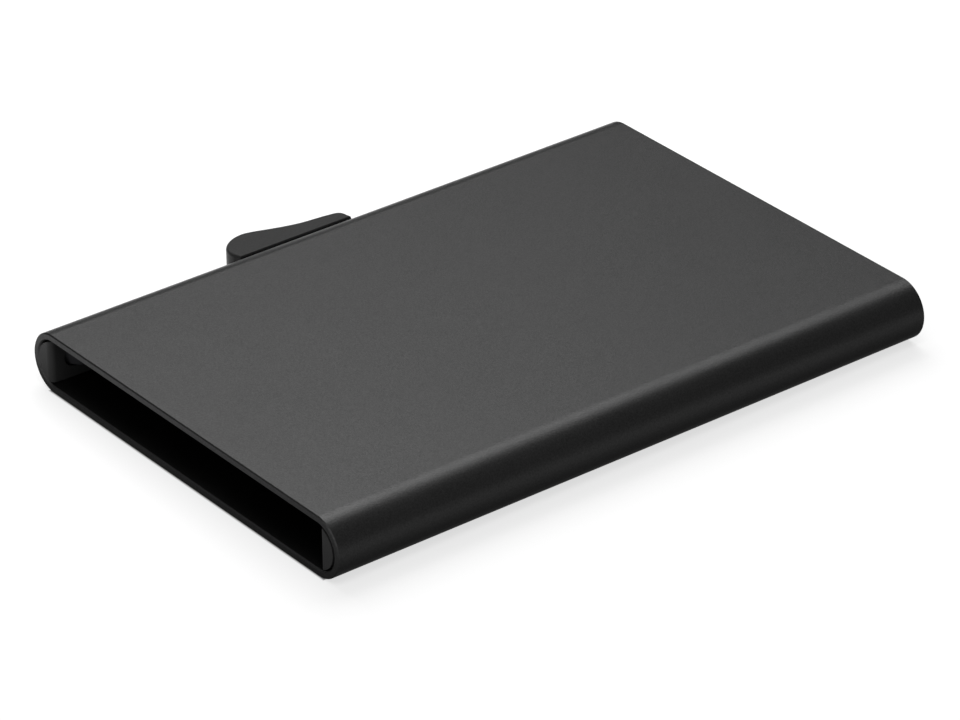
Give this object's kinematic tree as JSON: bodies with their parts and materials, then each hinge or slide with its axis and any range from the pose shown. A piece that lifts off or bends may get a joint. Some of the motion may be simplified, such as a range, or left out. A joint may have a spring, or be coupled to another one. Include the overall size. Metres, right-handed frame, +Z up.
{
  "type": "minimalist wallet",
  "caption": "Slim aluminium card sleeve with round sides, an open end and a side thumb lever that fans the cards out.",
  "frame": {"origin": "centre of the sleeve's flat underside", "axes": "+Z up through the thickness, -Y out of the open end, -X towards the side with the thumb lever"},
  "size_m": [0.0682, 0.091, 0.0082],
  "materials": {
    "anodised_shell": "bead-blasted, black anodised, satin",
    "rail_plastic": "moulded, fine matte",
    "lever_plastic": "moulded, satin",
    "steel": "cold rolled",
    "black_steel": "spring steel, blackened"
  },
  "bodies": {
    "sleeve": {"shell": "anodised_shell", "slider_rail": "rail_plastic", "plain_rail": "rail_plastic", "rear_cap": "rail_plastic", "arm_pivot_pin": "steel"},
    "slider": {"carriage": "rail_plastic", "drive_plate": "steel", "thumb_lever": "lever_plastic"},
    "arm": {"fan_arm": "rail_plastic"},
    "retainer": {"retention_spring": "black_steel"}
  },
  "joints": [
    {"name": "slider_slide", "type": "slide", "parent": "sleeve", "child": "slider", "axis": [0, -1, 0], "range_m": [0, 0.023]},
    {"name": "arm_swing", "type": "hinge", "parent": "sleeve", "child": "arm", "pos_m": [0.0262, 0.0419, 0.0041], "axis": [0, 0, 1], "range_deg": [0, 28]},
    {"name": "retention_flex", "type": "hinge", "parent": "sleeve", "child": "retainer", "pos_m": [-0.0284, -0.03845, 0.0041], "axis": [0, 0, -1], "range_deg": [0, 8], "stiffness_Nm_per_rad": 0.02}
  ],
  "couplings": [
    {"joint": "arm_swing", "follows": "slider_slide", "rad_per_m": 20}
  ]
}
